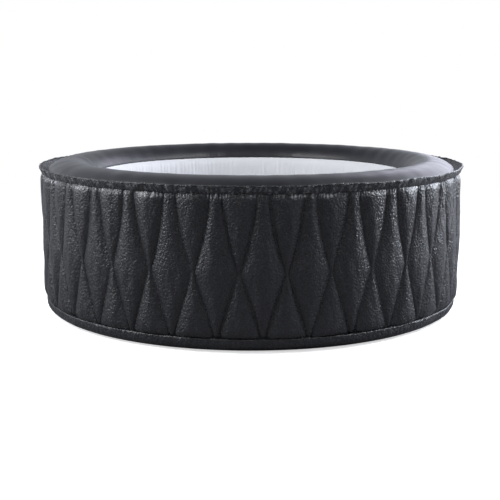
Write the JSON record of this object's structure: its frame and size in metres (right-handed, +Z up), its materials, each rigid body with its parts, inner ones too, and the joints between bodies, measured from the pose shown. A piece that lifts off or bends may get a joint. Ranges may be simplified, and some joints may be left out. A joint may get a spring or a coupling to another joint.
{
  "type": "inflatable hot tub",
  "caption": "Round inflatable hot tub with a quilted faux-leather wall, a padded air ring and a heating, filtering and air unit in the back wall.",
  "frame": {"origin": "centre of the base, on the ground", "axes": "+Z up, -Y the front, +Y the back with the heating and filter unit"},
  "size_m": [2.0322, 2.0322, 0.712],
  "materials": {
    "skin": "pebbled satin",
    "ring": "satin laminate",
    "liner": "satin vinyl",
    "bladder": "matte film",
    "ground_sheet": "matte",
    "dark_plastic": "matte",
    "cover_plastic": "fine texture",
    "white_plastic": "satin",
    "key_plastic": "satin",
    "display": "gloss",
    "rubber": "matte",
    "steel": "brushed",
    "board": "satin",
    "filter_media": "matte"
  },
  "bodies": {
    "root": {"outer_skin": "skin", "hem_band": "skin", "collar": "skin", "collar_piping": "skin", "top_ring": "ring", "liner_wall": "liner", "floor_sheet": "liner", "bubble_channel": "liner", "air_elbow": "liner", "wall_bladder": "bladder", "base_sheet": "ground_sheet", "case_body": "dark_plastic", "keypad_panel": "dark_plastic", "pump_volute": "dark_plastic", "blower_housing": "dark_plastic", "valve_base": "dark_plastic", "relief_body": "dark_plastic", "relief_cover": "dark_plastic", "drain_duct": "dark_plastic", "unit_cover": "cover_plastic", "filter_housing": "white_plastic", "discharge_pipe": "white_plastic", "return_pipe": "white_plastic", "return_grille": "white_plastic", "check_valve_body": "white_plastic", "display_window": "display", "keypad_membrane": "rubber", "cable_gland": "rubber", "air_hose": "rubber", "cover_screw_1": "steel", "cover_screw_2": "steel", "cover_screw_3": "steel", "cover_screw_4": "steel", "door_pin": "steel", "pump_motor": "steel", "blower_motor": "steel", "heater_tube": "steel", "heating_element": "steel", "valve_spring": "steel", "relief_spring": "steel", "circuit_board": "board"},
    "impeller": {"impeller": "dark_plastic"},
    "blower_fan": {"blower_fan": "white_plastic"},
    "check_flap": {"check_flap": "rubber"},
    "service_door": {"service_door": "cover_plastic"},
    "filter_cartridge": {"filter_cartridge": "filter_media"},
    "filter_cap": {"filter_cap": "white_plastic"},
    "valve_stem": {"valve_stem": "white_plastic"},
    "valve_cap_seal": {"valve_cap_seal": "rubber"},
    "valve_cap": {"valve_cap": "dark_plastic"},
    "relief_poppet": {"relief_poppet": "white_plastic"},
    "drain_cap_seal": {"drain_cap_seal": "rubber"},
    "drain_cap": {"drain_cap": "dark_plastic"},
    "drain_plug": {"drain_plug": "white_plastic"},
    "button_power": {"button_power": "key_plastic"},
    "button_heat": {"button_heat": "key_plastic"},
    "button_filter": {"button_filter": "key_plastic"},
    "button_bubbles": {"button_bubbles": "key_plastic"},
    "button_up": {"button_up": "key_plastic"},
    "button_down": {"button_down": "key_plastic"}
  },
  "joints": [
    {"name": "press_power", "type": "slide", "parent": "root", "child": "button_power", "axis": [0, -1, 0], "range_m": [0, 0.0012], "stiffness_N_per_m": 400},
    {"name": "press_heat", "type": "slide", "parent": "root", "child": "button_heat", "axis": [0, -1, 0], "range_m": [0, 0.0012], "stiffness_N_per_m": 400},
    {"name": "press_filter", "type": "slide", "parent": "root", "child": "button_filter", "axis": [0, -1, 0], "range_m": [0, 0.0012], "stiffness_N_per_m": 400},
    {"name": "press_bubbles", "type": "slide", "parent": "root", "child": "button_bubbles", "axis": [0, -1, 0], "range_m": [0, 0.0012], "stiffness_N_per_m": 400},
    {"name": "press_up", "type": "slide", "parent": "root", "child": "button_up", "axis": [0, -1, 0], "range_m": [0, 0.0012], "stiffness_N_per_m": 400},
    {"name": "press_down", "type": "slide", "parent": "root", "child": "button_down", "axis": [0, -1, 0], "range_m": [0, 0.0012], "stiffness_N_per_m": 400},
    {"name": "impeller_spin", "type": "hinge", "parent": "root", "child": "impeller", "pos_m": [0, 0.885, 0.215], "axis": [0, 1, 0], "continuous": true},
    {"name": "fan_spin", "type": "hinge", "parent": "root", "child": "blower_fan", "pos_m": [0.105, 0.9, 0.405], "axis": [0, 1, 0], "continuous": true},
    {"name": "check_flap_swing", "type": "hinge", "parent": "root", "child": "check_flap", "pos_m": [0.1385, 0.897, 0.3198], "axis": [0, 1, 0], "range_deg": [0, 55], "stiffness_Nm_per_rad": 0.002, "springref_deg": -8.59},
    {"name": "door_swing", "type": "hinge", "parent": "root", "child": "service_door", "pos_m": [-0.126, 1.002, 0.2475], "axis": [0, 0, 1], "range_deg": [0, 105]},
    {"name": "cartridge_pull", "type": "slide", "parent": "root", "child": "filter_cartridge", "axis": [0, -1, 0], "range_m": [0, 0.105]},
    {"name": "filter_cap_turn", "type": "hinge", "parent": "filter_cartridge", "child": "filter_cap", "pos_m": [0, 0.73, 0.215], "axis": [0, -1, 0], "range_deg": [0, 60]},
    {"name": "valve_press", "type": "slide", "parent": "root", "child": "valve_stem", "axis": [-0.5, -0.866, 0], "range_m": [0, 0.006], "stiffness_N_per_m": 600, "deforming": ["valve_spring"]},
    {"name": "valve_cap_travel", "type": "slide", "parent": "root", "child": "valve_cap_seal", "axis": [0.5, 0.866, 0], "range_m": [0, 0.003]},
    {"name": "valve_cap_turn", "type": "hinge", "parent": "valve_cap_seal", "child": "valve_cap", "pos_m": [0.506, 0.87642, 0.42], "axis": [0.5, 0.866, 0], "range_deg": [0, 360]},
    {"name": "relief_lift", "type": "slide", "parent": "root", "child": "relief_poppet", "axis": [0.342, 0.9397, 0], "range_m": [0, 0.004], "stiffness_N_per_m": 1500, "deforming": ["relief_spring"]},
    {"name": "drain_cap_travel", "type": "slide", "parent": "root", "child": "drain_cap_seal", "axis": [-0.342, 0.9397, 0], "range_m": [0, 0.003]},
    {"name": "drain_cap_turn", "type": "hinge", "parent": "drain_cap_seal", "child": "drain_cap", "pos_m": [-0.34612, 0.95097, 0.09], "axis": [-0.342, 0.9397, 0], "range_deg": [0, 360]},
    {"name": "drain_plug_pull", "type": "slide", "parent": "root", "child": "drain_plug", "axis": [0.342, -0.9397, 0], "range_m": [0, 0.03]}
  ],
  "couplings": [
    {"joint": "valve_cap_travel", "follows": "valve_cap_turn", "m_per_rad": 0.000477},
    {"joint": "drain_cap_travel", "follows": "drain_cap_turn", "m_per_rad": 0.000477}
  ]
}
